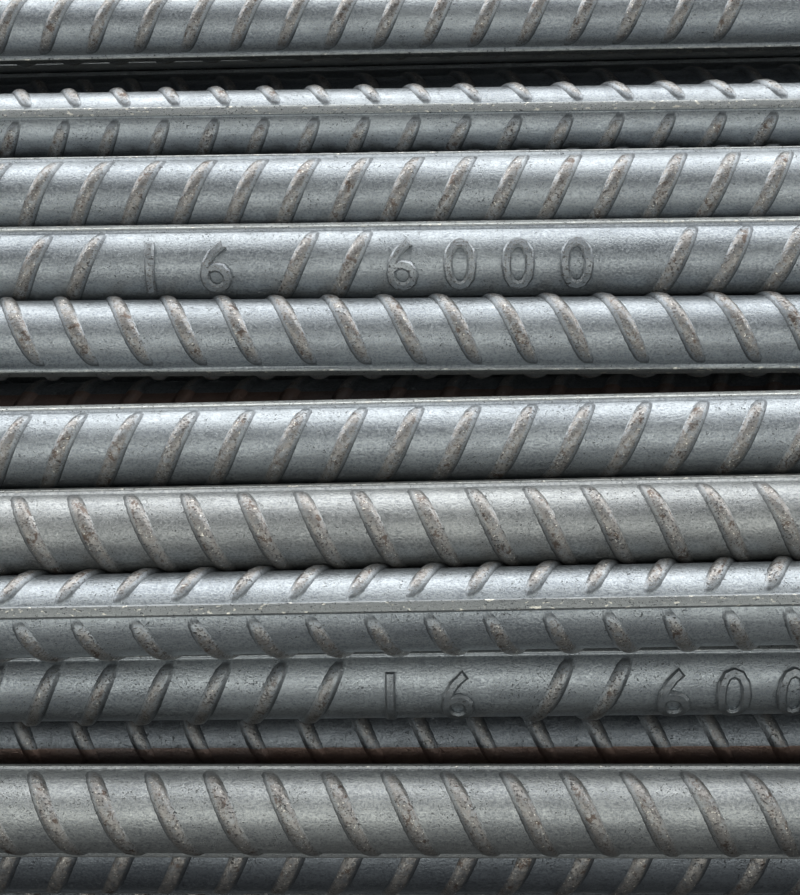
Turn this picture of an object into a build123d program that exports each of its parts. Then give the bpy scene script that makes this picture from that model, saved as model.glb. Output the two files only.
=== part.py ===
from build123d import *
import os
from math import ceil, cos, hypot, radians, sin, sqrt

# Ribbed reinforcing bar of nominal size 16, straight, in stock length. All sizes are in millimetres.
bar_length = 6000.0
core_diameter = 15.4  # between the transverse ribs
core_sides = 18  # flats that draw the round core, few because there are so many bars
seam_rib_height = 0.8  # the two ribs that run the whole length, on opposite sides
seam_rib_crest = 2.0
seam_rib_root = 2.6
seam_rib_embed = 0.5  # how far the rib's root is let into the round core
bar_clearance = 0.7  # the transverse ribs hold neighbouring cores this far apart
ragged_ends = 9.0  # how far a bar's end may stand before or behind the bundle's end

# Wire-rod ties, each one turn round the whole bundle with its two ends twisted together.
tie_wire_diameter = 6.0
wire_sides = 8  # flats that draw the round wire
wire_bend_step = 30.0  # the most that the wire turns at one bend, in degrees
tie_clearance = 0.1  # between the wire and the crests of the seam ribs
tie_count = 6
tie_end_distance = 500.0  # from the bundle's end to the first tie
tie_bend_radius = 7.0  # where the wire turns from the bundle's girth into the twist
twist_length = 42.0
twist_turns = 1.5
strand_bends_per_turn = 8
strand_clearance = 0.2  # between the two twisted strands

# Places of the bars across the bundle, row by row from the floor up, in bar pitches from the crown bar.
# A plain row is so many bars, evenly spaced from the first place to the last.
plain_row_counts = [12, 13, 14, 15, 14]
plain_row_ends = [(4.85, -6.95), (5.35, -7.45), (5.85, -7.9), (6.3, -8.3), (5.85, -7.95)]
# The upper rows lie less evenly, and their gaps show the rows beneath.
uneven_rows = [
    [5.36, 4.14, 2.78, 1.57, 0.54, -0.56, -1.78, -2.95, -4.02, -5.14, -6.39, -7.6],
    [4.81, 3.48, 2.08, 1.06, 0.03, -1.15, -2.42, -3.48, -4.57, -5.71, -7.07],
    [4.32, 2.58, 1.565, 0.52, -0.51, -1.715, -2.94, -3.99, -5.12, -6.71],
    [0.99, 0.0, -1.02, -2.41, -3.47, -4.5],
]
# How bars of the top rows are turned: the angle of a seam rib above the level, in degrees, or None
# where it doesn't matter.
chosen_turns = [
    [None, None, None, None, None, None, None, None, None, None, 25],
    [27, 100, 150, 92, 31, 147, 90, 35, 62, 15],
    [34, 38, 13, 34, 23, 99],
]
turn_step = 3.0  # a bar is turned on by this until its seam ribs clear the bars beside it

bar_pitch = core_diameter + bar_clearance
core_radius = core_diameter / 2
seam_rib_tip = core_radius + seam_rib_height
wire_radius = tie_wire_diameter / 2
strand_offset = wire_radius + strand_clearance / 2
golden_angle = 180 * (3 - sqrt(5))  # spreads turns and ends without a repeat


def place_rows():
    """Lets each bar down at its place until it meets the floor or a bar beneath.

    Returns a list of rows, each a list of (across, up) bar centres.
    """
    rows = []
    for count, (first, last) in zip(plain_row_counts, plain_row_ends):
        rows.append([first + (last - first) * i / (count - 1) for i in range(count)])
    lain, placed = [], []
    for row in rows + uneven_rows:
        centres = []
        for across in [place * bar_pitch for place in row]:
            near = [(y, z) for y, z in lain if abs(across - y) < bar_pitch]
            heights = [z + sqrt(bar_pitch**2 - (across - y) ** 2) for y, z in near]
            centres.append((across, max(heights, default=0.0)))
        lain += centres
        placed.append(centres)
    return placed


def seam_crests(centre, turn):
    """The middles of a bar's two seam ribs, as (across, up) points."""
    angle = radians(turn)
    reach = (core_radius + seam_rib_tip) / 2
    return [
        (centre[0] + side * reach * cos(angle), centre[1] + side * reach * sin(angle))
        for side in (1, -1)
    ]


def turn_clear(centre, wanted, others, crests):
    """Turns a bar on from the wanted angle until its seam ribs miss the cores and ribs beside it.

    Returns the turn and the middles of the bar's seam ribs.
    """
    core_room = core_radius + hypot(seam_rib_height / 2, seam_rib_crest / 2)
    rib_room = hypot(seam_rib_root, seam_rib_height)
    turn = wanted
    for _ in range(int(180 / turn_step)):
        own = seam_crests(centre, turn)
        to_cores = [hypot(y - a, z - b) for y, z in own for a, b in others if (a, b) != centre]
        to_ribs = [hypot(y - a, z - b) for y, z in own for a, b in crests]
        if min(to_cores) > core_room and min(to_ribs, default=rib_room + 1) > rib_room:
            break
        turn += turn_step
    return turn, own


def make_bar():
    """One straight bar along X, its seam ribs at the two sides."""
    rib = Polygon(
        (core_radius - seam_rib_embed, -seam_rib_root / 2),
        (seam_rib_tip, -seam_rib_crest / 2),
        (seam_rib_tip, seam_rib_crest / 2),
        (core_radius - seam_rib_embed, seam_rib_root / 2),
        align=None,
    )
    section = RegularPolygon(core_radius, core_sides) + rib + Rot(0, 0, 180) * rib
    return extrude(Plane.YZ.offset(-bar_length / 2) * section, bar_length)


def hull_corners(points):
    """The corners of the outline stretched round points, in order, anticlockwise."""

    def half(ordered):
        chain = []
        for point in ordered:
            while len(chain) > 1:
                (ax, ay), (bx, by) = chain[-2:]
                if (bx - ax) * (point[1] - by) - (by - ay) * (point[0] - bx) > 0:
                    break
                chain.pop()
            chain.append(point)
        return chain[:-1]

    ordered = sorted(points)
    return half(ordered) + half(ordered[::-1])


def twisted_end(side, knot, along):
    """The points of one end of the wire, wound round the other, from its bend to its cut."""
    steps = round(twist_turns * strand_bends_per_turn)
    points = []
    for step in range(steps + 1):
        spin = 360 * twist_turns * step / steps
        from_axis = along.rotate(Axis.X, spin) * strand_offset * side
        points.append(knot + Vector(tie_bend_radius + twist_length * step / steps, 0, 0) + from_axis)
    return points


def make_tie(centres):
    """One turn of wire round all bars in the plane X = 0, its two ends twisted together along X."""
    reach = seam_rib_tip + tie_clearance + wire_radius
    corners = [Vector(0, across, up) for across, up in hull_corners(centres)]
    middle_height = sum(corner.Z for corner in corners) / len(corners)

    # The twist lies on the longest straight run of the upper half.
    runs = list(zip(corners, corners[1:] + corners[:1]))
    upper = [i for i, (a, b) in enumerate(runs) if min(a.Z, b.Z) > middle_height]
    knot_run = max(upper, key=lambda i: (runs[i][1] - runs[i][0]).length)
    runs = runs[knot_run:] + runs[:knot_run]
    along = [(b - a).normalized() for a, b in runs]
    outward = [Vector(0, d.Z, -d.Y) for d in along]
    knot = (runs[0][0] + runs[0][1]) / 2 + outward[0] * reach

    # Round each corner of the bundle the stiff wire bends in one or more equal steps.
    girth = []
    for i, (_, corner) in enumerate(runs):
        turn = outward[i].get_angle(outward[(i + 1) % len(runs)])
        bends = ceil(turn / wire_bend_step)
        for bend in range(bends):
            normal = outward[i].rotate(Axis.X, turn * (bend + 0.5) / bends)
            girth.append(corner + normal * (reach / cos(radians(turn / bends / 2))))

    aside = along[0] * (strand_offset + tie_bend_radius)
    near_end = twisted_end(1, knot, along[0])
    far_end = twisted_end(-1, knot, along[0])
    path = Polyline(*near_end[::-1], knot + aside, *girth, knot - aside, *far_end)
    section = Plane(path @ 0, z_dir=path % 0) * RegularPolygon(wire_radius, wire_sides)
    return sweep(section, path, transition=Transition.RIGHT)


rows = place_rows()
everywhere = [centre for row in rows for centre in row]
bar = make_bar()

# The top rows are turned first, and the bars beneath make room for them.
hidden_rows = len(rows) - len(chosen_turns)
layers, crests, number = [], [], 0
for level in reversed(range(len(rows))):
    bars = []
    for index, centre in enumerate(rows[level]):
        number += 1
        wanted = number * golden_angle
        if level >= hidden_rows and chosen_turns[level - hidden_rows][index] is not None:
            wanted = chosen_turns[level - hidden_rows][index]
        turn, own = turn_clear(centre, wanted, everywhere, crests)
        crests += own
        end_shift = ragged_ends * sin(number * golden_angle)
        bars.append(Pos(end_shift, *centre) * Rot(turn, 0, 0) * bar)
    layers.insert(0, bars)

tie = make_tie(everywhere)
tie_span = bar_length - 2 * tie_end_distance
ties = [Pos(-tie_span / 2 + tie_span * i / (tie_count - 1), 0, 0) * tie for i in range(tie_count)]

# The bundle's origin: on the floor, under the middle of its box.
whole = Compound([*ties, *[bar for bars in layers for bar in bars]]).bounding_box()
to_floor = Pos(-whole.center().X, -whole.center().Y, -whole.min.Z)

os.makedirs("parts", exist_ok=True)
for level, bars in enumerate(layers, start=1):
    export_step(Compound([to_floor * bar for bar in bars]), f"parts/bars_layer_{level}.step")
export_step(Compound([to_floor * tie for tie in ties]), "parts/wire_ties.step")
print("bars", number, "box", [round(side, 1) for side in (whole.size.X, whole.size.Y, whole.size.Z)])
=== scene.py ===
"""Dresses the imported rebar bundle: ribbed bars under mill scale, held by twisted wire-rod ties."""

import logging
import math
import random
from collections.abc import Iterable
from dataclasses import dataclass, field
from enum import Enum

import bmesh
import bpy
import numpy as np
from mathutils import Matrix, Vector

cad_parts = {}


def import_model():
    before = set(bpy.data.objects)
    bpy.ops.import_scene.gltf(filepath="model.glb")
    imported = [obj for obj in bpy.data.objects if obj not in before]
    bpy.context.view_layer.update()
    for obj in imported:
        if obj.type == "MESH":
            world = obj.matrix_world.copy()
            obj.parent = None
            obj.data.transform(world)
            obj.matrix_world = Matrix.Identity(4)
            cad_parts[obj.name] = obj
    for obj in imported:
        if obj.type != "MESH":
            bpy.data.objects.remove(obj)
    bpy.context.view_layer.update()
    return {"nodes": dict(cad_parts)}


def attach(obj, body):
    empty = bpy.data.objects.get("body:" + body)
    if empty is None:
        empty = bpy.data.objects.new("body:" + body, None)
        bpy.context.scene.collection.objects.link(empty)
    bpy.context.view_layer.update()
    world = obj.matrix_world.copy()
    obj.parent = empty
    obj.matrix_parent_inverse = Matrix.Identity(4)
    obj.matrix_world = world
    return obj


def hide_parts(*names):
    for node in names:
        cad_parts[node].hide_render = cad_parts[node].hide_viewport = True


MM = 0.001
BODY = "root"
LAYERS = 9
WELD = 0.001 * MM  # points nearer to each other than this are one
NEAR = 0.01 * MM  # points that are meant to meet may stand this far apart
RIM_BEND = 1.0  # the edges round a bar's end bend by more than this, in radians
SHARP = math.radians(38)  # edges that bend by more are drawn sharp
BROWN_SHADE_EDGE = 12.0  # the degrees round the bar over which the painted brown shade sets in
CREST = "crest"  # the vertex attribute that says how far up a rib a point is, less than 0 on seam ribs
PAINTED_BROWN_SHADE = "painted_brown_shade"  # the vertex attribute that says where a bar gets a painted brown shade, for its neighbour's shade and reflection
PAINTED_LIGHT_TINT = "painted_light_tint"  # the vertex attribute that paints light and shade on a bar's scale, and by its alpha on the bar's seam ribs
log = logging.getLogger("rebar_bundle")
Colour = tuple[float, float, float]
Mesh = bpy.types.Mesh
Socket = bpy.types.NodeSocket


class Slant(Enum):
    """How a row of transverse ribs leans, seen from outside with +X to the right and the bar level."""

    RISING = 1
    FALLING = -1

    @property
    def other(self) -> "Slant":
        """The slant of the row on the bar's other side."""
        return Slant.FALLING if self is Slant.RISING else Slant.RISING


@dataclass(frozen=True)
class Span:
    """A stretch along the bars, in metres."""

    start: float
    end: float

    def holds(self, x: float) -> bool:
        """Whether a place along the bars is inside the stretch."""
        return self.start <= x <= self.end


@dataclass(frozen=True)
class Sway:
    """How a bar bows sideways between the two middle ties, and lies straight beyond them."""

    shift: float = 0.0
    slope: float = 0.0
    reach: float = 0.5

    def at(self, x: np.ndarray) -> np.ndarray:
        """Works out the sideways shift of the bar's axis.

        Args:
            x: Places along the bar, in metres.

        Returns:
            The shift towards +Y at each place, in metres.
        """
        near = np.clip(1 - (x / self.reach) ** 2, 0, 1) ** 2
        return (self.shift + self.slope * x) * near


@dataclass
class BarPlace:
    """Where one bar lies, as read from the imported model, in metres and radians."""

    across: float
    up: float
    turn: float
    back: float
    front: float
    sway: Sway = field(default_factory=Sway)

    @property
    def matrix(self) -> Matrix:
        """Carries a bar along X through the origin, one seam rib towards +Y, to this bar's place."""
        return Matrix.Translation((0, self.across, self.up)) @ Matrix.Rotation(self.turn, 4, "X")


@dataclass(frozen=True)
class SeenBar:
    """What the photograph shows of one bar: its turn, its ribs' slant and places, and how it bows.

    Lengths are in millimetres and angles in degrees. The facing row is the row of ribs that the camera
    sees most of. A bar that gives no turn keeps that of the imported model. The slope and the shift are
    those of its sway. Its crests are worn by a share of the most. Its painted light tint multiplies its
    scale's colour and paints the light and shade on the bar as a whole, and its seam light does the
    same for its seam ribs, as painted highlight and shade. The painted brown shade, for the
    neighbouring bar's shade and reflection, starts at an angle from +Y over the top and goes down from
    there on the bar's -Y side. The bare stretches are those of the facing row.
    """

    layer: int
    index: int
    facing: Slant
    start: float = 0.0
    pitch: float = 10.8
    other_start: float = 2.0
    shift: float = 0.0
    slope: float = 0.0
    turn: float | None = None
    worn: float = 1.0
    painted_light_tint: Colour = (1.0, 1.0, 1.0)
    seam_light: float = 1.0
    painted_brown_shade: float | None = None
    bare: tuple[Span, ...] = ()


@dataclass(frozen=True)
class BarShape:
    """The section of a bar and the form of its transverse ribs, in metres and radians.

    rib_round is the share of its height that a rib's crest loses towards its edges, and rib_blunt the
    share of its width that a rib keeps at its ends. The powers shape how it fades out there.
    """

    core_radius: float = 7.7 * MM
    core_sides: int = 60
    seam_faces: int = 3
    seam_height: float = 0.8 * MM
    seam_crest: float = 2.0 * MM
    seam_round: float = 0.22 * MM
    end_chamfer: float = 0.35 * MM
    rib_height: float = 1.0 * MM
    rib_crest: float = 2.2 * MM
    rib_foot: float = 4.7 * MM
    rib_embed: float = 0.5 * MM
    rib_round: float = 0.22
    rib_lean: float = math.radians(66)
    rib_half_span: float = math.radians(81)
    rib_blunt: float = 0.7
    rib_pitch: float = 10.8 * MM
    fade_power: float = 4.0
    height_power: float = 0.9
    width_power: float = 0.6
    round_power: float = 2.5


def new_object(name: str, data: bpy.types.ID) -> bpy.types.Object:
    """Makes an object at the origin and links it to the scene."""
    made = bpy.data.objects.new(name, data)
    bpy.context.scene.collection.objects.link(made)
    return made


def mesh_of_curve(curve: bpy.types.Curve) -> Mesh:
    """Turns a curve or a text into a mesh of its surface and removes it."""
    holder = new_object("curve", curve)
    mesh = bpy.data.meshes.new_from_object(holder)
    bpy.data.objects.remove(holder)
    bpy.data.curves.remove(curve)
    return mesh


def mesh_from(bm: bmesh.types.BMesh, name: str) -> Mesh:
    """Turns a bmesh into a mesh and frees it."""
    mesh = bpy.data.meshes.new(name)
    bm.to_mesh(mesh)
    bm.free()
    return mesh


def bevel(
    bm: bmesh.types.BMesh, edges: list[bmesh.types.BMEdge], offset: float, segments: int = 1
) -> None:
    """Bevels edges.

    Args:
        bm: The bmesh.
        edges: Its edges to bevel.
        offset: How far each new edge stands off the old one.
        segments: How many faces the bevel has across.
    """
    bmesh.ops.bevel(
        bm,
        geom=edges,
        offset=offset,
        offset_type="OFFSET",
        segments=segments,
        profile=0.5,
        affect="EDGES",
        material=-1,
        clamp_overlap=True,
    )


def cut_across(bm: bmesh.types.BMesh, axis: int, at: float) -> None:
    """Cuts all faces along a plane that stands across an axis, and keeps both sides."""
    normal = Matrix.Identity(3)[axis]
    geom = [*bm.verts, *bm.edges, *bm.faces]
    bmesh.ops.bisect_plane(bm, geom=geom, dist=WELD, plane_co=normal * at, plane_no=normal)


def points_of(mesh: Mesh) -> np.ndarray:
    """Reads a mesh's points, one to a row."""
    points = np.empty(len(mesh.vertices) * 3, np.float32)
    mesh.vertices.foreach_get("co", points)
    return points.reshape(-1, 3)


def sway_mesh(mesh: Mesh, sway: Sway) -> None:
    """Bows a mesh that lies along a bar as the bar itself bows.

    Args:
        mesh: The mesh, in its place.
        sway: How the bar bows.
    """
    points = points_of(mesh)
    points[:, 1] += sway.at(points[:, 0])
    mesh.vertices.foreach_set("co", points.ravel())


def mark(mesh: Mesh, place: BarPlace, look: SeenBar | None, worn: float) -> None:
    """Marks how worn a mesh's crests are, the painted light tint of its scale, and where it gets the
    painted brown shade.

    Args:
        mesh: A mesh of the bar, in its place.
        place: The bar.
        look: What the photograph shows of it, if anything.
        worn: How worn the crests of a bar are that the photograph doesn't show.
    """
    count = len(mesh.vertices)
    crest = np.empty(count, np.float32)
    mesh.attributes[CREST].data.foreach_get("value", crest)
    mesh.attributes[CREST].data.foreach_set("value", crest * (look.worn if look else worn))
    # Each bar's painted light tint: light and shade on its scale and, by the alpha, on its seam ribs.
    painted_tints = (*look.painted_light_tint, look.seam_light) if look else (*SeenBar.painted_light_tint, SeenBar.seam_light)
    painted_light_tint = np.tile(np.array(painted_tints, np.float32), count)
    mesh.attributes.new(PAINTED_LIGHT_TINT, "FLOAT_COLOR", "POINT").data.foreach_set("color", painted_light_tint)
    # Painted brown shade down the bar's -Y side, for the shade and brown reflection of the neighbouring
    # bar.
    if look and look.painted_brown_shade is not None:
        points = points_of(mesh)
        angles = np.degrees(np.arctan2(points[:, 2] - place.up, points[:, 1] - place.across)) % 360
        painted_brown_shade = np.clip((angles - look.painted_brown_shade) / BROWN_SHADE_EDGE + 0.5, 0, 1).astype(np.float32)
        mesh.attributes.new(PAINTED_BROWN_SHADE, "FLOAT", "POINT").data.foreach_set("value", painted_brown_shade)


def joined(meshes: Iterable[Mesh], name: str) -> Mesh:
    """Joins meshes into one, with the attributes that the finish reads, and removes them."""
    bm = bmesh.new()
    bm.verts.layers.float.new(CREST)
    bm.verts.layers.float.new(PAINTED_BROWN_SHADE)
    bm.verts.layers.float_color.new(PAINTED_LIGHT_TINT)
    for mesh in meshes:
        bm.from_mesh(mesh)
        bpy.data.meshes.remove(mesh)
    return mesh_from(bm, name)


def repeated(mesh: Mesh, pitch: float, count: int) -> Mesh:
    """Makes a mesh that repeats a given one along X, and leaves that one as it is."""
    holder = new_object("array", mesh)
    array = holder.modifiers.new("array", "ARRAY")
    array.use_relative_offset = False
    array.use_constant_offset = True
    array.constant_offset_displace = (pitch, 0, 0)
    array.count = count
    made = bpy.data.meshes.new_from_object(holder.evaluated_get(bpy.context.evaluated_depsgraph_get()))
    bpy.data.objects.remove(holder)
    return made


@dataclass(frozen=True)
class Finish:
    """A material and the record's slot that it stands for."""

    material: bpy.types.Material
    slot: str


def add_piece(mesh: Mesh, name: str, finish: Finish, nodes: Iterable[str] = ()) -> None:
    """Makes a mesh a piece of the bundle.

    Args:
        mesh: The piece's mesh, in its place.
        name: The piece's name.
        finish: Its finish.
        nodes: The CAD nodes that the piece stands for.
    """
    mesh.shade_smooth()
    mesh.set_sharp_from_angle(angle=SHARP)
    mesh.materials.clear()
    mesh.materials.append(finish.material)
    piece = new_object(name, mesh)
    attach(piece, BODY)
    if nodes:
        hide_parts(*nodes)
    mesh.calc_loop_triangles()
    log.info("%s: %d triangles", name, len(mesh.loop_triangles))


def read_places(node: bpy.types.Object, shape: BarShape) -> list[BarPlace]:
    """Reads where the bars of a packed layer lie.

    Args:
        node: The layer's CAD node, whose bars are solids that don't touch.
        shape: The bars' section.

    Returns:
        The bars' places, from the layer's +Y side to its -Y side.
    """
    bm = bmesh.new()
    bm.from_mesh(node.data)
    bmesh.ops.remove_doubles(bm, verts=bm.verts, dist=WELD)
    left = set(bm.verts)
    places = []
    while left:
        solid, edge_of = set(), [left.pop()]
        while edge_of:
            vert = edge_of.pop()
            solid.add(vert)
            fresh = [e.other_vert(vert) for e in vert.link_edges if e.other_vert(vert) in left]
            left.difference_update(fresh)
            edge_of += fresh
        points = sorted((vert.co for vert in solid), key=tuple)  # so that each run adds them alike
        middle = sum(points, Vector()) / len(points)
        arms = [Vector((p.y - middle.y, p.z - middle.z)) for p in points]
        crests = [arm for arm in arms if arm.length > shape.core_radius + shape.seam_height / 2]
        tip = sum((arm for arm in crests if arm.dot(crests[0]) > 0), Vector((0, 0)))
        places.append(
            BarPlace(
                across=middle.y,
                up=middle.z,
                turn=math.atan2(tip.y, tip.x) % math.pi,
                back=min(p.x for p in points),
                front=max(p.x for p in points),
            )
        )
    bm.free()
    return sorted(places, key=lambda place: -place.across)


@dataclass
class BarCore:
    """The round core of a bar with its two seam ribs, along X."""

    shape: BarShape
    bend_step: float = 0.05

    def make(self, place: BarPlace) -> Mesh:
        """Makes one bar's core in its place.

        Args:
            place: Where the bar lies.

        Returns:
            A closed mesh with its seam ribs' crests marked, as less than 0.
        """
        s = self.shape
        bm = bmesh.new()
        length = place.front - place.back
        bmesh.ops.create_cone(
            bm,
            cap_ends=True,
            segments=s.core_sides,
            radius1=s.core_radius,
            radius2=s.core_radius,
            depth=length,
            matrix=Matrix.Rotation(math.radians(90), 4, "Y")
            @ Matrix.Rotation(math.radians(180 / s.core_sides), 4, "Z"),
        )
        crest = bm.verts.layers.float.new(CREST)
        for side in (1, -1):
            self._raise_seam(bm, side, crest)
        ends = [e for e in bm.edges if abs(e.verts[0].co.x - e.verts[1].co.x) < MM]
        outline = [e for e in ends if len(e.link_faces) == 2 and e.calc_face_angle(0) > RIM_BEND]
        bevel(bm, outline, s.end_chamfer)
        bmesh.ops.translate(bm, verts=bm.verts, vec=((place.front + place.back) / 2, 0, 0))
        if place.sway != Sway():
            self._cut_for_bend(bm, place.sway.reach)
        bmesh.ops.transform(bm, matrix=place.matrix, verts=bm.verts)
        mesh = mesh_from(bm, "core")
        sway_mesh(mesh, place.sway)
        return mesh

    def _raise_seam(self, bm: bmesh.types.BMesh, side: int, crest: bmesh.types.BMLayerItem) -> None:
        """Raises the seam rib of side 1, +Y, or -1 from the core's faces and rounds its edges."""
        s = self.shape
        half_width = math.radians(360 / s.core_sides) * (s.seam_faces / 2)
        sides = [f for f in bm.faces if abs(f.normal.x) < 0.5]
        flank = [f for f in sides if side * f.normal.y > math.cos(half_width)]
        raised = bmesh.ops.extrude_face_region(bm, geom=flank)
        top = [item for item in raised["geom"] if isinstance(item, bmesh.types.BMVert)]
        root_width = max(v.co.z for v in top) - min(v.co.z for v in top)
        for vert in top:
            vert.co.y = side * (s.core_radius + s.seam_height)
            vert.co.z *= s.seam_crest / root_width
            vert[crest] = -1.0
        outer = {v for v in top if abs(abs(v.co.z) - s.seam_crest / 2) < NEAR}
        edges = [e for e in bm.edges if outer.intersection(e.verts)]
        lengthwise = [e for e in edges if abs(e.verts[0].co.x - e.verts[1].co.x) > MM]
        bevel(bm, lengthwise, s.seam_round, 2)

    def _cut_for_bend(self, bm: bmesh.types.BMesh, reach: float) -> None:
        """Cuts the core into short lengths as far as its bow reaches, to both sides of the middle."""
        steps = round(2 * reach / self.bend_step)
        for step in range(steps + 1):
            cut_across(bm, 0, -reach + step * self.bend_step)


@dataclass
class TransverseRib:
    """One crescent rib that leans across half of the bar and fades out towards both seam ribs."""

    shape: BarShape
    steps: int
    crest_cuts: int

    def make(self, slant: Slant) -> Mesh:
        """Makes a rib on a bar along X, in the middle of the half that faces +Z.

        Args:
            slant: How the rib leans.

        Returns:
            A closed mesh whose crest is marked.
        """
        bm = bmesh.new()
        crest = bm.verts.layers.float.new(CREST)
        bmesh.ops.create_cube(bm, size=1.0)
        long_edges = [e for e in bm.edges if abs(e.verts[0].co.y - e.verts[1].co.y) > 0.5]
        bmesh.ops.subdivide_edges(bm, edges=long_edges, cuts=self.steps - 1, use_grid_fill=True)
        if self.crest_cuts:
            over = [e for e in bm.edges if min(v.co.z for v in e.verts) > 0]
            over = [e for e in over if abs(e.verts[0].co.x - e.verts[1].co.x) > 0.5]
            bmesh.ops.subdivide_edges(bm, edges=over, cuts=self.crest_cuts, use_grid_fill=True)
        for vert in bm.verts:
            self._lay(vert, slant, crest)
        bmesh.ops.recalc_face_normals(bm, faces=bm.faces)
        return mesh_from(bm, "rib")

    def _lay(self, vert: bmesh.types.BMVert, slant: Slant, crest: bmesh.types.BMLayerItem) -> None:
        """Lays a point of a unit cube on the bar: Y along the rib, X across it and Z up from the core.

        The crest is worn to the edge of its upper flank and less on the lower, partly a painted shade
        there.
        """
        s = self.shape
        along, across, top = vert.co.y * 2, vert.co.x * 2, vert.co.z > 0
        fade = max(0.0, 1 - abs(along) ** s.fade_power)
        edge = abs(across) ** s.round_power
        height = s.rib_height * fade**s.height_power * (1 - s.rib_round * edge)
        narrowed = s.rib_blunt + (1 - s.rib_blunt) * fade**s.width_power
        width = (s.rib_crest if top else s.rib_foot) * narrowed
        radius = s.core_radius + (height if top else -s.rib_embed)
        angle = along * s.rib_half_span
        lean = slant.value * angle * s.core_radius / math.tan(s.rib_lean)
        # Partly wear and partly painted shade: the lower flank's crest is marked less, so it comes out
        # darker.
        wear = 1 - edge / 2 if across * slant.value > 0 else 1.0
        vert[crest] = fade * wear if top else 0.0
        on_bar = radius * math.sin(angle), radius * math.cos(angle)
        vert.co = Vector((lean + across * width / 2, *on_bar))


@dataclass
class RibRow:
    """A row of transverse ribs on one half of a bar, and what the photograph shows of the bar."""

    place: BarPlace
    middle: float
    slant: Slant
    start: float
    pitch: float
    look: SeenBar | None

    def runs(self, span: Span, bare: tuple[Span, ...]) -> list[tuple[int, int]]:
        """Finds the unbroken runs of ribs in a stretch of the bar.

        Args:
            span: The stretch.
            bare: Stretches inside it that have no ribs.

        Returns:
            The first rib of each run and how many ribs it has.
        """
        found: list[tuple[int, int]] = []
        first = math.ceil((span.start - self.start) / self.pitch)
        last = math.floor((span.end - self.start) / self.pitch)
        for number in range(first, last + 1):
            x = self.start + number * self.pitch
            if any(gap.holds(x) for gap in bare):
                continue
            if found and sum(found[-1]) == number:
                found[-1] = (found[-1][0], found[-1][1] + 1)
            else:
                found.append((number, 1))
        return found

    def matrix(self, number: float) -> Matrix:
        """Carries a rib from the top of a bar through the origin to its place in the row."""
        along = Matrix.Translation((self.start + number * self.pitch, self.place.across, self.place.up))
        return along @ Matrix.Rotation(self.middle - math.radians(90), 4, "X")


@dataclass(frozen=True)
class Digits:
    """Plain raised digits rolled on a photographed bar, in millimetres and degrees.

    The angle is that of their middle height, from +Y over the top.
    """

    layer: int
    index: int
    text: str
    start: float
    angle: float
    size: float = 14.0
    spacing: float = 1.0
    height: float = 1.0
    embed: float = 0.3
    stroke: float = -0.1
    edge: float = 0.4
    cut_step: float = 1.2
    wear: float = 0.45

    def make(self, place: BarPlace, radius: float) -> Mesh:
        """Makes the digits, bent round the bar.

        Args:
            place: The bar.
            radius: The radius of its core.

        Returns:
            A mesh whose upper faces are marked as crests.
        """
        curve = bpy.data.curves.new("digits", "FONT")
        curve.body = self.text
        curve.size = self.size * MM
        curve.space_character = self.spacing
        curve.offset = self.stroke * MM
        curve.extrude = (self.height + self.embed) * MM / 2 - self.edge * MM
        curve.bevel_depth = self.edge * MM
        curve.bevel_resolution = 0
        curve.resolution_u = 3
        curve.align_y = "CENTER"
        flat = mesh_of_curve(curve)
        bm = bmesh.new()
        bm.from_mesh(flat)
        bpy.data.meshes.remove(flat)
        bmesh.ops.remove_doubles(bm, verts=bm.verts, dist=NEAR)
        reach = math.ceil(self.size / self.cut_step)
        for step in range(-reach, reach + 1):
            cut_across(bm, 1, step * self.cut_step * MM)
        crest = bm.verts.layers.float.new(CREST)
        for vert in bm.verts:
            out = radius + vert.co.z + (self.height - self.embed) * MM / 2
            angle = math.radians(self.angle) - vert.co.y / radius
            vert[crest] = self.wear if vert.co.z > 0 else 0.0
            across, up = place.across + out * math.cos(angle), place.up + out * math.sin(angle)
            vert.co = Vector((self.start * MM + vert.co.x, across, up))
        bmesh.ops.recalc_face_normals(bm, faces=bm.faces)
        return mesh_from(bm, "digits")


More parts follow.
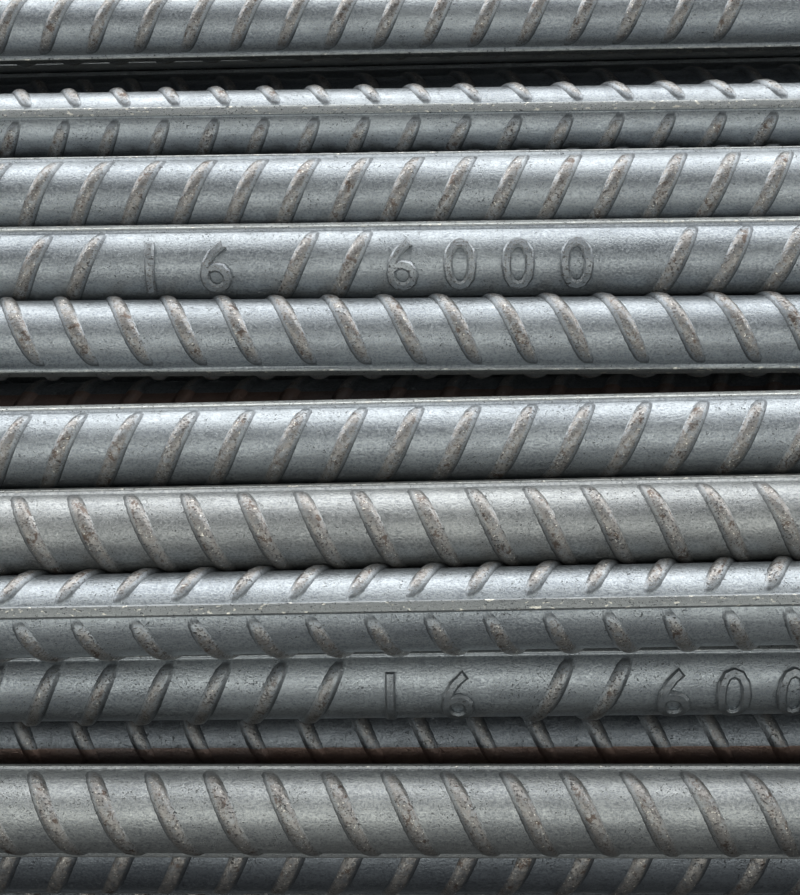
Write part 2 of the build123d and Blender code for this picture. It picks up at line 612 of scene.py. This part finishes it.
@dataclass
class Bundle:
    """All bars of the bundle, with the ribs that show.

    A row of ribs shows if enough of the sampled directions from it are open, not counting those that
    point down by more than the lowest view. Bars that the photograph doesn't show are worn alike.
    """

    shape: BarShape
    seen: tuple[SeenBar, ...]
    eye: Vector
    finish: Finish
    close_span: Span = Span(-0.115, 0.115)
    end_bare: float = 0.006
    seed: int = 16
    worn: float = 0.7
    open_step: float = math.radians(5)
    open_least: int = 3
    lowest_view: float = -0.1

    def __post_init__(self) -> None:
        """Starts without bars, and sorts what the photograph shows by bar."""
        self.layers: list[list[BarPlace]] = []
        self.looks: dict[tuple[int, int], SeenBar] = {(bar.layer, bar.index): bar for bar in self.seen}

    def read(self, nodes: dict[str, bpy.types.Object]) -> None:
        """Reads the bars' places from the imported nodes, and bows and turns the photographed ones."""
        for layer in range(1, LAYERS + 1):
            places = read_places(nodes[f"bars_layer_{layer}"], self.shape)
            for index, place in enumerate(places):
                look = self.looks.get((layer, index))
                if look:
                    place.sway = Sway(look.shift * MM, look.slope)
                    place.turn = place.turn if look.turn is None else math.radians(look.turn)
            self.layers.append(places)

    def open_share(self, place: BarPlace, middle: float) -> int:
        """Counts the directions in which a row of ribs has nothing in front of it.

        Args:
            place: The bar that carries the row.
            middle: The angle of the row's middle.

        Returns:
            How many of the sampled directions are open.
        """
        others = [p for bars in self.layers for p in bars if p is not place]
        steps = int(self.shape.rib_half_span / self.open_step)
        count = 0
        for step in range(-steps, steps + 1):
            angle = middle + step * self.open_step
            out = Vector((math.cos(angle), math.sin(angle)))
            if out.y < self.lowest_view:
                continue
            foot = Vector((place.across, place.up)) + out * self.shape.core_radius
            for other in others:
                reach = Vector((other.across, other.up)) - foot
                ahead = reach.dot(out)
                if ahead > 0 and (reach - ahead * out).length < self.shape.core_radius:
                    break
            else:
                count += 1
        return count

    def rows(self) -> Iterable[tuple[int, RibRow, bool]]:
        """Lists the rows of ribs.

        Returns:
            For each row its layer, the row and whether it shows.
        """
        chance = random.Random(self.seed)
        for layer, places in enumerate(self.layers, start=1):
            for index, place in enumerate(places):
                look = self.looks.get((layer, index))
                first_slant = chance.choice(list(Slant))
                starts = [chance.uniform(0, self.shape.rib_pitch) for _ in range(2)]
                facing_angle = math.atan2(self.eye.z - place.up, self.eye.y - place.across)
                for number, quarter in enumerate((90, -90)):
                    middle = place.turn + math.radians(quarter)
                    slant = first_slant if number == 0 else first_slant.other
                    start, pitch = starts[number], self.shape.rib_pitch
                    if look:
                        faces = math.cos(middle - facing_angle) > 0
                        slant = look.facing if faces else look.facing.other
                        start = (look.start if faces else look.other_start) * MM
                        pitch = look.pitch * MM
                    is_open = self.open_share(place, middle) >= self.open_least
                    yield layer, RibRow(place, middle, slant, start, pitch, look), is_open

    def build_cores(self) -> None:
        """Makes the bars' cores, one piece for each layer."""
        core = BarCore(self.shape)
        for layer, places in enumerate(self.layers, start=1):
            cores = [core.make(place) for place in places]
            for index, (mesh, place) in enumerate(zip(cores, places)):
                mark(mesh, place, self.looks.get((layer, index)), self.worn)
            mesh = joined(cores, f"bars_{layer}")
            add_piece(mesh, f"ribbed_bars_{layer}", self.finish, [f"bars_layer_{layer}"])

    def build_ribs(self) -> None:
        """Makes the transverse ribs: fine ones in the photographed stretch and plain ones elsewhere."""
        plain_rib = TransverseRib(self.shape, steps=4, crest_cuts=0)
        fine_rib = TransverseRib(self.shape, steps=12, crest_cuts=3)
        plain = {slant: plain_rib.make(slant) for slant in Slant}
        fine = {slant: fine_rib.make(slant) for slant in Slant}
        far: dict[int, list[Mesh]] = {layer: [] for layer in range(1, LAYERS + 1)}
        near: dict[int, list[Mesh]] = {layer: [] for layer in range(1, LAYERS + 1)}
        close = self.close_span
        for layer, row, is_open in self.rows():
            spans = [Span(row.place.back + self.end_bare, row.place.front - self.end_bare)]
            if row.look:
                bare = row.look.bare if row.slant is row.look.facing else ()
                near[layer] += self._row_meshes(fine, row, close, bare)
                spans = [Span(spans[0].start, close.start), Span(close.end, spans[0].end)]
            if is_open:
                for span in spans:
                    far[layer] += self._row_meshes(plain, row, span)
        for meshes, name in ((far, "ribs"), (near, "fine_ribs")):
            for layer, rows in meshes.items():
                if rows:
                    add_piece(joined(rows, f"{name}_{layer}"), f"{name}_{layer}", self.finish)
        for mesh in [*plain.values(), *fine.values()]:
            bpy.data.meshes.remove(mesh)

    def build_digits(self, digits: tuple[Digits, ...]) -> None:
        """Makes the raised digits as one piece.

        Args:
            digits: The digits and their bars.
        """
        meshes = []
        for each in digits:
            place = self.layers[each.layer - 1][each.index]
            mesh = each.make(place, self.shape.core_radius)
            mark(mesh, place, self.looks.get((each.layer, each.index)), self.worn)
            sway_mesh(mesh, place.sway)
            meshes.append(mesh)
        add_piece(joined(meshes, "digits"), "raised_digits", self.finish)

    def _row_meshes(
        self, ribs: dict[Slant, Mesh], row: RibRow, span: Span, bare: tuple[Span, ...] = ()
    ) -> list[Mesh]:
        """Repeats a rib for each run of ribs in a stretch of a row, outside its bare stretches."""
        meshes = []
        for first, count in row.runs(span, bare):
            mesh = repeated(ribs[row.slant], row.pitch, count)
            mesh.transform(row.matrix(first))
            mark(mesh, row.place, row.look, self.worn)
            sway_mesh(mesh, row.place.sway)
            meshes.append(mesh)
        return meshes


@dataclass(frozen=True)
class TieShape:
    """The wire-rod ties, each one turn round the bundle with its ends twisted together, in metres."""

    wire_radius: float = 3.0 * MM
    clearance: float = 0.1 * MM
    count: int = 6
    first: float = -2.5
    spacing: float = 1.0
    bend_radius: float = 7.0 * MM
    twist_length: float = 42.0 * MM
    twist_turns: float = 1.5
    strand_clearance: float = 0.2 * MM
    turn_step: float = math.radians(6)
    step_slack: float = 1e-4  # a turn over by less than this share of a step gets no step more
    bend_steps: int = 8
    twist_steps: int = 36
    resolution: int = 3


@dataclass
class Ties:
    """All ties of the bundle."""

    shape: TieShape
    bar: BarShape
    places: list[BarPlace]
    finish: Finish

    def hull(self) -> list[Vector]:
        """Finds the bars at the bundle's outline, anticlockwise seen against +X.

        Returns:
            Their centres in the plane across the bundle.
        """
        ordered = sorted((p.across, p.up) for p in self.places)
        outline: list[Vector] = []
        for run in (ordered, ordered[::-1]):
            chain: list[Vector] = []
            for point in (Vector(pair) for pair in run):
                while len(chain) > 1 and (chain[-1] - chain[-2]).cross(point - chain[-1]) <= 0:
                    chain.pop()
                chain.append(point)
            outline += chain[:-1]
        return outline

    def route(self) -> list[Vector]:
        """Works out the wire's centre line for a tie in the plane X = 0.

        Returns:
            Its points from one cut end to the other.
        """
        s = self.shape
        reach = self.bar.core_radius + self.bar.seam_height + s.clearance + s.wire_radius
        corners = self.hull()
        middle_height = sum(c.y for c in corners) / len(corners)
        runs = list(zip(corners, corners[1:] + corners[:1]))
        upper = [i for i, (a, b) in enumerate(runs) if min(a.y, b.y) > middle_height]
        first = max(upper, key=lambda i: (runs[i][1] - runs[i][0]).length)
        runs = runs[first:] + runs[:first]
        along = [(b - a).normalized() for a, b in runs]
        outward = [Vector((d.y, -d.x)) for d in along]
        knot = (runs[0][0] + runs[0][1]) / 2 + outward[0] * reach
        ends = [self._end(side, knot, along[0], outward[0]) for side in (1, -1)]
        girth = []
        for i, (_, corner) in enumerate(runs):
            turn = outward[i].angle_signed(outward[(i + 1) % len(runs)])
            steps = max(1, math.ceil(abs(turn) / s.turn_step - s.step_slack))
            for step in range(steps + 1):
                angle = math.atan2(outward[i].y, outward[i].x) + abs(turn) * step / steps
                point = corner + reach * Vector((math.cos(angle), math.sin(angle)))
                girth.append(Vector((0, point.x, point.y)))
        return ends[0][::-1] + girth + ends[1]

    def _end(self, side: int, knot: Vector, along: Vector, outward: Vector) -> list[Vector]:
        """Works out the bend and the twisted strand at one end of the wire, from the girth to the cut.

        Args:
            side: 1 for the strand on the far side of the knot, -1 for the near one.
            knot: The middle of the twist's start, across the bundle.
            along: The direction of the run that the knot lies on.
            outward: The direction away from the bundle.
        """
        s = self.shape
        offset = s.wire_radius + s.strand_clearance / 2
        points = []
        for step in range(s.bend_steps, -1, -1):
            angle = math.radians(90) * step / s.bend_steps
            across = side * (offset + s.bend_radius * (1 - math.cos(angle)))
            place = knot + along * across
            points.append(Vector((s.bend_radius * (1 - math.sin(angle)), place.x, place.y)))
        for step in range(1, s.twist_steps + 1):
            share = step / s.twist_steps
            spin = math.radians(360) * s.twist_turns * share
            place = knot + side * offset * (along * math.cos(spin) - outward * math.sin(spin))
            points.append(Vector((s.bend_radius + s.twist_length * share, place.x, place.y)))
        return points

    def build(self) -> None:
        """Makes the ties as one piece."""
        s = self.shape
        curve = bpy.data.curves.new("tie", "CURVE")
        curve.dimensions = "3D"
        curve.bevel_depth = s.wire_radius
        curve.bevel_resolution = s.resolution
        curve.use_fill_caps = True
        route = self.route()
        spline = curve.splines.new("POLY")
        spline.points.add(len(route) - 1)
        for point, place in zip(spline.points, route):
            point.co = (*place, 1.0)
        single = mesh_of_curve(curve)
        meshes = []
        for number in range(s.count):
            mesh = single.copy()
            mesh.transform(Matrix.Translation((s.first + number * s.spacing, 0, 0)))
            meshes.append(mesh)
        bpy.data.meshes.remove(single)
        add_piece(joined(meshes, "ties"), "tie_wires", self.finish, ["wire_ties"])


@dataclass(frozen=True)
class Pattern:
    """A noise: how many features it has to a metre, its octaves and how strong the finer ones are.

    Along is the share of that number that it has along the bars, so less than 1 makes streaks.
    """

    rate: float
    detail: float = 2.0
    roughness: float = 0.5
    along: float = 1.0


class Shader:
    """A material under construction, with a short call for each kind of node."""

    def __init__(self, name: str) -> None:
        """Starts a material with its surface shader.

        Args:
            name: The material's name.
        """
        self.material = bpy.data.materials.new(name)
        self.material.use_nodes = True
        self.tree = self.material.node_tree
        self.surface = self.tree.nodes["Principled BSDF"]
        self.place = self.node("ShaderNodeTexCoord").outputs["Object"]

    def node(self, kind: str, **settings: object) -> bpy.types.Node:
        """Adds a node of a kind, with properties by name."""
        made = self.tree.nodes.new(kind)
        for name, value in settings.items():
            setattr(made, name, value)
        return made

    def set(self, socket: Socket, value: object) -> None:
        """Links an output to an input, or sets the input's value."""
        if isinstance(value, Socket):
            self.tree.links.new(value, socket)
        else:
            socket.default_value = value

    def feed(self, node: bpy.types.Node, **values: object) -> None:
        """Gives a node's inputs their links or values.

        Args:
            node: The node.
            values: Outputs to link or values to set, by the inputs' names with _ for a blank.
        """
        for name, value in values.items():
            self.set(node.inputs[name.replace("_", " ")], value)

    def noise(self, pattern: Pattern) -> Socket:
        """Adds a noise on the Object coordinates, from 0 to 1."""
        where = self.place
        if pattern.along != 1:
            mapping = self.node("ShaderNodeMapping")
            self.feed(mapping, Vector=where, Scale=(pattern.along, 1, 1))
            where = mapping.outputs["Vector"]
        made = self.node("ShaderNodeTexNoise")
        self.feed(made, Vector=where, Scale=pattern.rate)
        self.feed(made, Detail=pattern.detail, Roughness=pattern.roughness)
        return made.outputs["Fac"]

    def ranged(
        self,
        value: Socket,
        low: float,
        high: float,
        to_low: float = 0.0,
        to_high: float = 1.0,
    ) -> Socket:
        """Maps a range of a value smoothly to another range.

        Args:
            value: The value.
            low: Where the range starts.
            high: Where it ends.
            to_low: What the start becomes.
            to_high: What the end becomes.

        Returns:
            The mapped value.
        """
        made = self.node("ShaderNodeMapRange", interpolation_type="SMOOTHSTEP")
        self.feed(made, Value=value, From_Min=low, From_Max=high, To_Min=to_low, To_Max=to_high)
        return made.outputs["Result"]

    def math(self, operation: str, a: object, b: object) -> Socket:
        """Adds a sum, product or the like of two sockets or numbers."""
        made = self.node("ShaderNodeMath", operation=operation)
        self.set(made.inputs[0], a)
        self.set(made.inputs[1], b)
        return made.outputs["Value"]

    def mix(self, factor: object, a: object, b: object, blend: str = "MIX") -> Socket:
        """Mixes two colours.

        Args:
            factor: How much of the second there is.
            a: The first, a socket or a red, green and blue.
            b: The second.
            blend: How the second goes over the first.

        Returns:
            The mixed colour.
        """
        made = self.node("ShaderNodeMix", data_type="RGBA", blend_type=blend)
        self.feed(made, Factor=factor)
        for name, value in (("A", a), ("B", b)):
            socket = [s for s in made.inputs if s.name == name and s.type == "RGBA"][0]
            self.set(socket, (*value, 1.0) if isinstance(value, tuple) else value)
        return [s for s in made.outputs if s.type == "RGBA"][0]

    def attribute(self, name: str, output: str = "Fac") -> Socket:
        """Reads a vertex attribute."""
        return self.node("ShaderNodeAttribute", attribute_name=name).outputs[output]

    def bump(
        self, height: Socket, distance: float, strength: float, under: object = None
    ) -> Socket:
        """Adds relief.

        Args:
            height: The relief's height, from 0 to 1.
            distance: What a height of 1 stands for, in metres.
            strength: How much of it shows.
            under: The normal of a coarser relief beneath.

        Returns:
            The bumped normal.
        """
        made = self.node("ShaderNodeBump")
        self.feed(made, Height=height, Distance=distance, Strength=strength)
        if under is not None:
            self.feed(made, Normal=under)
        return made.outputs["Normal"]


@dataclass(frozen=True)
class MillScale:
    """Blue-grey scale on hot-rolled bars: streaks, grain, pits, grime, rubbed crests, and painted light
    and shade.
    """

    name: str = "mill_scale"
    dark: Colour = (0.195, 0.218, 0.242)
    light: Colour = (0.405, 0.44, 0.462)
    pit_and_foot_shade: Colour = (0.04, 0.045, 0.05)
    rubbed: Colour = (0.275, 0.263, 0.248)
    grime: Colour = (0.12, 0.11, 0.105)
    bright: Colour = (0.85, 0.82, 0.72)
    brown: Colour = (0.10, 0.07, 0.055)
    seam: Colour = (0.3, 0.31, 0.295)
    painted_brown_shade: Colour = (0.15, 0.095, 0.075)
    metallic: float = 0.82
    specular: float = 0.8
    roughness: tuple[float, float] = (0.28, 0.46)
    streak_share: float = 0.15
    patch_share: float = 0.25
    grain_share: float = 0.65
    streak_depth: float = 0.012 * MM
    grain_depth: float = 0.12 * MM
    wave_depth: float = 0.2 * MM
    streaks: Pattern = Pattern(1100, 3, 0.6, 0.06)
    patches: Pattern = Pattern(70, 4, 0.6, 0.35)
    grain: Pattern = Pattern(2400, 3, 0.7, 0.8)
    pit_areas: Pattern = Pattern(160, 3)
    gloss: Pattern = Pattern(900, 3, 0.6)
    waves: Pattern = Pattern(220, 2, along=0.3)
    blotches: Pattern = Pattern(750, 4, 0.7)
    brown_pits: Pattern = Pattern(330, 4, 0.75)
    specks: Pattern = Pattern(2300, 2)
    dots: Pattern = Pattern(1500, 3, along=0.5)

    def material(self) -> bpy.types.Material:
        """Makes the material."""
        s = Shader(self.name)
        s.feed(s.surface, Metallic=self.metallic, Specular_IOR_Level=self.specular)
        streaks, patches, grain = s.noise(self.streaks), s.noise(self.patches), s.noise(self.grain)
        crest = s.attribute(CREST)
        tone = s.math("MULTIPLY", streaks, self.streak_share)
        tone = s.math("ADD", tone, s.math("MULTIPLY", patches, self.patch_share))
        tone = s.math("ADD", tone, s.math("MULTIPLY", grain, self.grain_share))
        colour = s.mix(s.ranged(tone, 0.36, 0.64), self.dark, self.light)
        # Painted light and shade: each bar's tint darkens bars that lie in shade, and warms or
        # brightens others.
        colour = s.mix(1.0, colour, s.attribute(PAINTED_LIGHT_TINT, "Color"), "MULTIPLY")
        colour = self._crests(s, colour, crest, grain)
        colour = self._seams(s, colour, crest, grain)
        pitted = s.ranged(s.noise(self.pit_areas), 0.4, 0.6)
        pits = s.math("MULTIPLY", s.ranged(grain, 0.58, 0.66), pitted)
        colour = s.mix(s.math("MULTIPLY", pits, 0.85), colour, self.pit_and_foot_shade)
        # Painted brown shade on some bars' -Y sides, for the shade and brown reflection of the
        # neighbouring bar.
        brown_shaded = s.ranged(s.attribute(PAINTED_BROWN_SHADE), 0.45, 0.55)
        brown_shaded = s.math("MULTIPLY", brown_shaded, s.ranged(patches, 0.25, 0.55, 0.5, 0.9))
        colour = s.mix(brown_shaded, colour, self.painted_brown_shade)
        rough = s.ranged(s.noise(self.gloss), 0.3, 0.7, *self.roughness)
        relief = s.bump(s.noise(self.waves), self.wave_depth, 0.3)
        relief = s.bump(streaks, self.streak_depth, 0.5, relief)
        relief = s.bump(s.math("SUBTRACT", grain, pits), self.grain_depth, 1.0, relief)
        s.feed(s.surface, Base_Color=colour, Roughness=rough, Normal=relief)
        return s.material

    def _crests(self, s: Shader, colour: Socket, crest: Socket, grain: Socket) -> Socket:
        """Adds what the ribs show: rubbed steel, painted shade at the foot, grime, brown pits and
        bright specks.
        """
        top = s.ranged(crest, 0.4, 0.75)
        rubbed = s.math("MULTIPLY", top, s.ranged(s.noise(self.blotches), 0.36, 0.56, 0.25, 0.9))
        colour = s.mix(rubbed, colour, self.rubbed)
        # Painted shade along each rib's foot, where it meets the core.
        foot = s.math("MULTIPLY", s.ranged(crest, 0.05, 0.2), s.ranged(crest, 0.22, 0.42, 1, 0))
        colour = s.mix(s.math("MULTIPLY", foot, 0.6), colour, self.pit_and_foot_shade)
        pocks = s.math("MULTIPLY", s.ranged(crest, 0.15, 0.5), s.ranged(grain, 0.5, 0.6, 0, 0.8))
        colour = s.mix(pocks, colour, self.grime)
        browned = s.math("MULTIPLY", top, s.ranged(s.noise(self.brown_pits), 0.57, 0.64, 0, 0.85))
        colour = s.mix(browned, colour, self.brown)
        specks = s.math("MULTIPLY", top, s.ranged(s.noise(self.specks), 0.66, 0.71, 0, 0.8))
        return s.mix(specks, colour, self.bright)

    def _seams(self, s: Shader, colour: Socket, crest: Socket, grain: Socket) -> Socket:
        """Adds what the seam ribs show: a duller face with dark pits and pale dots."""
        face = s.ranged(crest, -0.9, -0.5, 1, 0)
        # Painted highlight and shade on each bar's seam ribs, by the tint's alpha.
        lit_seam = s.mix(1.0, self.seam, s.attribute(PAINTED_LIGHT_TINT, "Alpha"), "MULTIPLY")
        colour = s.mix(s.math("MULTIPLY", face, 0.6), colour, lit_seam)
        pitted = s.math("MULTIPLY", face, s.ranged(grain, 0.56, 0.64, 0, 0.8))
        colour = s.mix(pitted, colour, self.pit_and_foot_shade)
        dots = s.math("MULTIPLY", face, s.ranged(s.noise(self.dots), 0.63, 0.68, 0, 0.7))
        return s.mix(dots, colour, self.bright)


@dataclass(frozen=True)
class TieWire:
    """Dull dark scale on wire rod, with a little rust."""

    name: str = "tie_wire"
    scale: Colour = (0.16, 0.16, 0.17)
    rust: Colour = (0.22, 0.12, 0.07)
    metallic: float = 0.6
    roughness: tuple[float, float] = (0.42, 0.62)
    grain_depth: float = 0.15 * MM
    rust_patches: Pattern = Pattern(90, 4, 0.6)
    gloss: Pattern = Pattern(400, 3)
    grain: Pattern = Pattern(800, 3)

    def material(self) -> bpy.types.Material:
        """Makes the material."""
        s = Shader(self.name)
        rusty = s.ranged(s.noise(self.rust_patches), 0.5, 0.68, 0, 0.7)
        rough = s.ranged(s.noise(self.gloss), 0.3, 0.7, *self.roughness)
        relief = s.bump(s.noise(self.grain), self.grain_depth, 0.5)
        s.feed(s.surface, Metallic=self.metallic, Base_Color=s.mix(rusty, self.scale, self.rust))
        s.feed(s.surface, Roughness=rough, Normal=relief)
        return s.material


@dataclass(frozen=True)
class Eye:
    """The camera: where it stands by the photographed stretch, and its lens.

    Lengths are in metres, but the sensor's height in millimetres and the focal length in pixels.
    """

    elevation: float = math.radians(69.5)
    yaw: float = math.radians(2.2)
    roll: float = math.radians(-0.65)
    distance: float = 288 * MM
    focal_pixels: float = 1482.0
    frame_height: int = 895
    aim: Vector = Vector((0, -24.15 * MM, 127.3 * MM))
    sensor: float = 24.0

    @property
    def back(self) -> Vector:
        """The direction from what the camera looks at to the camera."""
        flat = math.cos(self.elevation) * math.cos(self.yaw)
        up = math.sin(self.elevation) * math.cos(self.yaw)
        return Vector((math.sin(self.yaw), -flat, up)).normalized()

    @property
    def position(self) -> Vector:
        """Where the camera stands."""
        return self.aim + self.back * self.distance

    def build(self) -> None:
        """Makes the camera and gives it to the scene."""
        up = Vector((0, math.sin(self.elevation), math.cos(self.elevation)))
        right = up.cross(self.back).normalized()
        up = self.back.cross(right)
        turned = Matrix((right, up, self.back)).transposed() @ Matrix.Rotation(self.roll, 3, "Z")
        lens = bpy.data.cameras.new("camera")
        lens.sensor_fit = "VERTICAL"
        lens.sensor_height = self.sensor
        lens.lens = self.focal_pixels * self.sensor / self.frame_height
        lens.clip_start = 0.01
        lens.clip_end = 200
        camera = new_object("camera", lens)
        camera.matrix_world = Matrix.Translation(self.position) @ turned.to_4x4()
        bpy.context.scene.camera = camera


@dataclass(frozen=True)
class SoftLight:
    """A long soft box that lies along the bundle, out of the camera's sight.

    The angle is that of its direction from the bundle, from +Y up over the top, and the spread is
    the angle that its width takes up there.
    """

    name: str
    angle: float
    spread: float
    radiance: float
    distance: float = 14.0
    length: float = 90.0
    colour: Colour = (1.0, 1.0, 1.0)

    def build(self) -> None:
        """Makes the light."""
        width = 2 * self.distance * math.tan(self.spread / 2)
        data = bpy.data.lights.new(self.name, "AREA")
        data.shape = "RECTANGLE"
        data.size = self.length
        data.size_y = width
        data.color = self.colour
        data.energy = self.radiance * math.pi * self.length * width
        out = Vector((0, math.cos(self.angle), math.sin(self.angle)))
        light = new_object(self.name, data)
        right = Vector((1, 0, 0))
        turned = Matrix((right, out.cross(right), out)).transposed()
        light.matrix_world = Matrix.Translation(out * self.distance) @ turned.to_4x4()
        light.visible_camera = False


@dataclass(frozen=True)
class Studio:
    """The plain pale floor, the soft lights, the sky and a card that darkens the bars' lower faces.

    The card lies on the floor in front of the bundle, and only reflections show it. Lengths are in
    metres, and its near and far side are given from the bundle's middle.
    """

    floor_size: float = 80.0
    floor_colour: Colour = (0.8, 0.8, 0.79)
    paint_roughness: float = 0.9
    card_near: float = 0.14
    card_far: float = 20.0
    card_length: float = 60.0
    card_lift: float = 2 * MM
    card_colour: Colour = (0.03, 0.03, 0.035)
    sky_strength: float = 0.2
    sky_colour: Colour = (0.95, 0.98, 1.0)
    lights: tuple[SoftLight, ...] = (
        SoftLight("back_light", math.radians(27), math.radians(56), 2.3),
        SoftLight("low_light", math.radians(15), math.radians(18), 2.6),
        SoftLight("key_light", math.radians(114), math.radians(11), 3.0, 0.44, 7.0, (1.0, 1.0, 0.94)),
    )

    def build(self) -> None:
        """Makes the floor, the card, the lights and the sky."""
        self._panel("floor", self.floor_colour, (self.floor_size, self.floor_size), Matrix.Identity(4))
        middle = Matrix.Translation((0, -(self.card_near + self.card_far) / 2, self.card_lift))
        size = (self.card_length, self.card_far - self.card_near)
        card = self._panel("dark_card", self.card_colour, size, middle)
        card.visible_camera = card.visible_shadow = False
        card.visible_diffuse = card.visible_transmission = False
        for light in self.lights:
            light.build()
        world = bpy.data.worlds.new("sky")
        world.use_nodes = True
        back = world.node_tree.nodes["Background"]
        back.inputs["Color"].default_value = (*self.sky_colour, 1.0)
        back.inputs["Strength"].default_value = self.sky_strength
        bpy.context.scene.world = world
        bpy.context.scene.view_settings.view_transform = "Standard"

    def _panel(
        self, name: str, colour: Colour, size: tuple[float, float], place: Matrix
    ) -> bpy.types.Object:
        """Makes a painted panel of a length and width, and carries it from the origin to its place."""
        bm = bmesh.new()
        bmesh.ops.create_grid(bm, x_segments=1, y_segments=1, size=0.5)
        bmesh.ops.scale(bm, vec=(*size, 1), verts=bm.verts)
        bmesh.ops.transform(bm, matrix=place, verts=bm.verts)
        panel = new_object(name, mesh_from(bm, name))
        paint = Shader(name)
        paint.feed(paint.surface, Base_Color=(*colour, 1.0), Roughness=self.paint_roughness)
        paint.feed(paint.surface, Specular_IOR_Level=0.0)
        panel.data.materials.append(paint.material)
        return panel


def seen_bars() -> tuple[SeenBar, ...]:
    """Describes the bars that show in the photograph.

    Returns:
        The bars, from the photograph's top to its bottom.
    """
    # Painted light for single bars: shade on bars in the gaps below, a warm reflection, extra light,
    # and lit or shaded seam ribs.
    shaded, warm_reflection, brightened = (0.42, 0.43, 0.45), (0.9, 0.865, 0.82), (1.06, 1.025, 0.97)
    at_edge = (Span(0.0765, 0.115),)
    for_upper_digits = (Span(-0.059, -0.027), Span(-0.0055, 0.0495))
    for_lower_digits = (Span(-0.01, 0.024), Span(0.0445, 0.115))
    return (
        SeenBar(8, 0, Slant.RISING, -1.7, 10.893, slope=-0.0042, turn=7, bare=at_edge),
        SeenBar(7, 1, Slant.FALLING, 2.2, 11.04, worn=0.7, painted_light_tint=shaded),
        SeenBar(8, 1, Slant.RISING, -1.5, 11.0, 0.75, slope=-0.0087, shift=0.35, turn=99.5),
        SeenBar(9, 0, Slant.RISING, -0.33, 10.657, slope=-0.0047, shift=-0.3),
        SeenBar(
            9, 1, Slant.RISING, -0.04, 10.77, slope=-0.0044, turn=50, seam_light=1.7,
            bare=for_upper_digits,
        ),
        SeenBar(9, 2, Slant.FALLING, -0.2, 10.843, slope=-0.0089, turn=172),
        SeenBar(8, 5, Slant.RISING, worn=0.6, painted_brown_shade=70, painted_light_tint=shaded),
        SeenBar(9, 3, Slant.RISING, -0.6, 10.833, slope=0.0092, turn=42, seam_light=2.0),
        SeenBar(9, 4, Slant.FALLING, -3.6, 10.745, slope=0.0105, shift=-0.5, turn=30, painted_light_tint=warm_reflection),
        SeenBar(
            9, 5, Slant.FALLING, -0.57, 10.753, -3.6, slope=0.0112, shift=-0.25, turn=100,
            seam_light=0.7,
        ),
        SeenBar(
            8, 8, Slant.RISING, -5.2, 10.79, slope=0.0065, worn=0.7, turn=64.5,
            bare=for_lower_digits,
        ),
        SeenBar(7, 9, Slant.FALLING, 2.3, 11.23, worn=0.6, painted_brown_shade=112, painted_light_tint=shaded),
        SeenBar(8, 9, Slant.FALLING, 1.75, 10.915, slope=-0.003, turn=19.5, painted_light_tint=brightened),
        SeenBar(7, 10, Slant.RISING, 0.98, 10.85, slope=-0.0044, painted_light_tint=shaded),
        SeenBar(6, 11, Slant.FALLING, painted_light_tint=shaded),
    )


def raised_digits() -> tuple[Digits, ...]:
    """Describes the plain digits that stand where a photographed bar has no ribs.

    Returns:
        The nominal size and the length, on each of two bars.
    """
    return (
        Digits(9, 1, "16", -53.5, 126, spacing=1.9),
        Digits(9, 1, "6000", -3.0, 126, spacing=1.65),
        Digits(8, 8, "16", -5.5, 137, spacing=1.8),
        Digits(8, 8, "6000", 47.5, 137, spacing=1.6),
    )


def main() -> None:
    """Builds the bundle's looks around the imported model."""
    logging.basicConfig(level=logging.INFO, format="%(name)s %(message)s")
    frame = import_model()
    shape = BarShape()
    eye = Eye()
    eye.build()
    steel = Finish(MillScale().material(), "bar_steel")
    wire = Finish(TieWire().material(), "tie_wire")
    bundle = Bundle(shape, seen_bars(), eye.position, steel)
    bundle.read(frame["nodes"])
    bundle.build_cores()
    bundle.build_ribs()
    bundle.build_digits(raised_digits())
    places = [place for layer in bundle.layers for place in layer]
    Ties(TieShape(), shape, places, wire).build()
    Studio().build()


if __name__ == "__main__":
    main()
